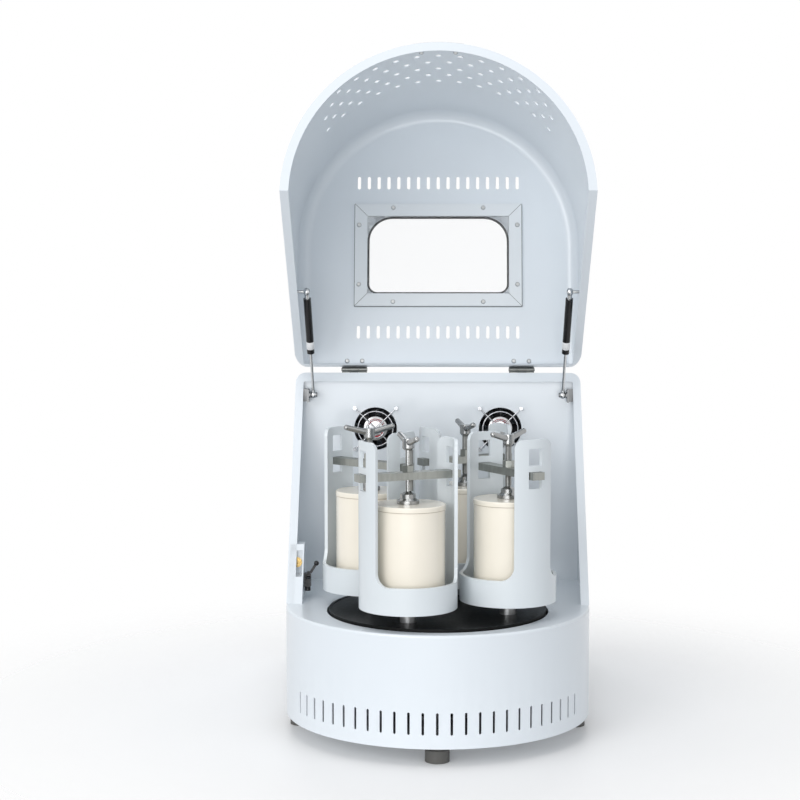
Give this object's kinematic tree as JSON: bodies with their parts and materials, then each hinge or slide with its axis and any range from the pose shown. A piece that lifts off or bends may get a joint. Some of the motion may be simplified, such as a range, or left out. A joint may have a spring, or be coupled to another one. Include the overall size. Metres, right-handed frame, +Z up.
{
  "type": "planetary ball mill",
  "caption": "Planetary ball mill: sheet-metal base with a geared turntable, jar carriers with screw clamps, vented hood with a window on gas struts",
  "frame": {"origin": "on the floor under the middle of the part's box, lid open", "axes": "+Z up, -Y the front with the curved end, +X to the right seen from the front"},
  "size_m": [0.47, 0.75, 1.0517],
  "materials": {
    "paint": "glossy powder coat",
    "feet_rubber": "matt",
    "belt_rubber": "matt",
    "fan_plastic": "moulded",
    "wire": "bright wire",
    "fan_rotor_metal": "satin",
    "hinge_steel": "dark satin",
    "bracket_steel": "zinc plated",
    "catch_brass": "polished",
    "switch_plastic": "moulded",
    "gear_steel": "machined",
    "pulley_aluminium": "turned",
    "motor_paint": "satin paint",
    "inverter_plastic": "moulded",
    "panel_plastic": "fine texture",
    "knob_plastic": "moulded",
    "stop_plastic": "moulded",
    "inlet_plastic": "moulded",
    "frame_aluminium": "white satin",
    "pane_glass": "clear",
    "strut_paint": "satin black",
    "rod_chrome": "polished",
    "disc_black": "satin black",
    "carrier_steel": "satin grey",
    "jar_ceramic": "cream ceramic glaze",
    "clamp_steel": "satin"
  },
  "bodies": {
    "base": {"base_shell": "paint", "base_floor": "paint", "deck_plate": "paint", "chamber_shell": "paint", "rear_cover": "paint", "feet": "feet_rubber", "fan_frames": "fan_plastic", "fan_guards": "wire", "hinge_body_leaves": "hinge_steel", "strut_brackets": "bracket_steel", "interlock_box": "paint", "interlock_catch": "catch_brass", "limit_switch": "switch_plastic", "sun_gear_housing": "gear_steel", "drive_motor": "motor_paint", "drive_belt": "belt_rubber", "inverter": "inverter_plastic", "control_panel": "panel_plastic", "power_inlet": "inlet_plastic"},
    "lid": {"lid_shell": "paint", "window_frame": "frame_aluminium", "window_pane": "pane_glass", "lid_fasteners": "bracket_steel", "hinge_lid_leaves": "hinge_steel"},
    "strut_rod_left": {"strut_rod_left": "rod_chrome"},
    "strut_rod_right": {"strut_rod_right": "rod_chrome"},
    "strut_cylinder_left": {"strut_cylinder_left": "strut_paint"},
    "strut_cylinder_right": {"strut_cylinder_right": "strut_paint"},
    "turntable": {"turntable": "disc_black", "main_shaft": "gear_steel"},
    "planet_1": {"carrier_1": "carrier_steel", "planet_shaft_1": "gear_steel", "jar_1": "jar_ceramic", "jar_lid_1": "jar_ceramic", "clamp_bar_1": "clamp_steel"},
    "planet_2": {"carrier_2": "carrier_steel", "planet_shaft_2": "gear_steel", "jar_2": "jar_ceramic", "jar_lid_2": "jar_ceramic", "clamp_bar_2": "clamp_steel"},
    "planet_3": {"carrier_3": "carrier_steel", "planet_shaft_3": "gear_steel", "jar_3": "jar_ceramic", "jar_lid_3": "jar_ceramic", "clamp_bar_3": "clamp_steel"},
    "planet_4": {"carrier_4": "carrier_steel", "planet_shaft_4": "gear_steel", "jar_4": "jar_ceramic", "jar_lid_4": "jar_ceramic", "clamp_bar_4": "clamp_steel"},
    "screw_1": {"clamp_screw_1": "clamp_steel"},
    "screw_2": {"clamp_screw_2": "clamp_steel"},
    "screw_3": {"clamp_screw_3": "clamp_steel"},
    "screw_4": {"clamp_screw_4": "clamp_steel"},
    "motor_rotor": {"motor_pulley": "pulley_aluminium"},
    "fan_left": {"fan_rotor_left": "fan_rotor_metal"},
    "fan_right": {"fan_rotor_right": "fan_rotor_metal"},
    "limit_lever": {"limit_lever": "switch_plastic"},
    "speed_knob": {"speed_knob": "knob_plastic"},
    "stop_button": {"stop_button": "stop_plastic"}
  },
  "joints": [
    {"name": "lid_hinge", "type": "hinge", "parent": "base", "child": "lid", "pos_m": [0, 0.068, 0.542], "axis": [1, 0, 0], "range_deg": [0, 102]},
    {"name": "strut_pivot_left", "type": "hinge", "parent": "base", "child": "strut_rod_left", "pos_m": [-0.2045, 0.042, 0.502], "axis": [1, 0, 0], "range_deg": [0, 113.49]},
    {"name": "strut_slide_left", "type": "slide", "parent": "strut_rod_left", "child": "strut_cylinder_left", "axis": [0.0266, 0.4127, -0.9105], "range_m": [0, 0.06837]},
    {"name": "strut_pivot_right", "type": "hinge", "parent": "base", "child": "strut_rod_right", "pos_m": [0.2045, 0.042, 0.502], "axis": [1, 0, 0], "range_deg": [0, 113.49]},
    {"name": "strut_slide_right", "type": "slide", "parent": "strut_rod_right", "child": "strut_cylinder_right", "axis": [-0.0266, 0.4127, -0.9105], "range_m": [0, 0.06837]},
    {"name": "turntable_spin", "type": "hinge", "parent": "base", "child": "turntable", "pos_m": [0, -0.186, 0.191], "axis": [0, 0, 1], "continuous": true},
    {"name": "planet_spin_1", "type": "hinge", "parent": "turntable", "child": "planet_1", "pos_m": [-0.04326, -0.29147, 0.216], "axis": [0, 0, 1], "continuous": true},
    {"name": "planet_spin_2", "type": "hinge", "parent": "turntable", "child": "planet_2", "pos_m": [0.10547, -0.22926, 0.216], "axis": [0, 0, 1], "continuous": true},
    {"name": "planet_spin_3", "type": "hinge", "parent": "turntable", "child": "planet_3", "pos_m": [0.04326, -0.08053, 0.216], "axis": [0, 0, 1], "continuous": true},
    {"name": "planet_spin_4", "type": "hinge", "parent": "turntable", "child": "planet_4", "pos_m": [-0.10547, -0.14274, 0.216], "axis": [0, 0, 1], "continuous": true},
    {"name": "clamp_turn_1", "type": "hinge", "parent": "planet_1", "child": "screw_1", "pos_m": [-0.04326, -0.29147, 0.41], "axis": [0, 0, 1], "range_deg": [0, 720]},
    {"name": "clamp_turn_2", "type": "hinge", "parent": "planet_2", "child": "screw_2", "pos_m": [0.10547, -0.22926, 0.41], "axis": [0, 0, 1], "range_deg": [0, 720]},
    {"name": "clamp_turn_3", "type": "hinge", "parent": "planet_3", "child": "screw_3", "pos_m": [0.04326, -0.08053, 0.41], "axis": [0, 0, 1], "range_deg": [0, 720]},
    {"name": "clamp_turn_4", "type": "hinge", "parent": "planet_4", "child": "screw_4", "pos_m": [-0.10547, -0.14274, 0.41], "axis": [0, 0, 1], "range_deg": [0, 720]},
    {"name": "motor_spin", "type": "hinge", "parent": "base", "child": "motor_rotor", "pos_m": [0, 0.214, 0.05], "axis": [0, 0, 1], "continuous": true},
    {"name": "fan_spin_left", "type": "hinge", "parent": "base", "child": "fan_left", "pos_m": [-0.1034, 0.079, 0.444], "axis": [0, 1, 0], "continuous": true},
    {"name": "fan_spin_right", "type": "hinge", "parent": "base", "child": "fan_right", "pos_m": [0.1034, 0.079, 0.444], "axis": [0, 1, 0], "continuous": true},
    {"name": "lever_hinge", "type": "hinge", "parent": "base", "child": "limit_lever", "pos_m": [-0.2037, -0.094, 0.226], "axis": [-1, 0, 0], "range_deg": [0, 25], "stiffness_Nm_per_rad": 0.02},
    {"name": "knob_turn", "type": "hinge", "parent": "base", "child": "speed_knob", "pos_m": [0.01, 0.244, 0.51], "axis": [0, 0, -1], "range_deg": [0, 270]},
    {"name": "stop_press", "type": "slide", "parent": "base", "child": "stop_button", "axis": [0, 0, -1], "range_m": [0, 0.004], "stiffness_N_per_m": 800}
  ],
  "couplings": [
    {"joint": "strut_pivot_left", "follows": "lid_hinge", "ratio": 1.1107},
    {"joint": "strut_slide_left", "follows": "lid_hinge", "m_per_rad": 0.038234},
    {"joint": "strut_pivot_right", "follows": "lid_hinge", "ratio": 1.1107},
    {"joint": "strut_slide_right", "follows": "lid_hinge", "m_per_rad": 0.038234},
    {"joint": "planet_spin_1", "follows": "turntable_spin", "ratio": 2},
    {"joint": "planet_spin_2", "follows": "turntable_spin", "ratio": 2},
    {"joint": "planet_spin_3", "follows": "turntable_spin", "ratio": 2},
    {"joint": "planet_spin_4", "follows": "turntable_spin", "ratio": 2},
    {"joint": "motor_spin", "follows": "turntable_spin", "ratio": 2.5}
  ]
}
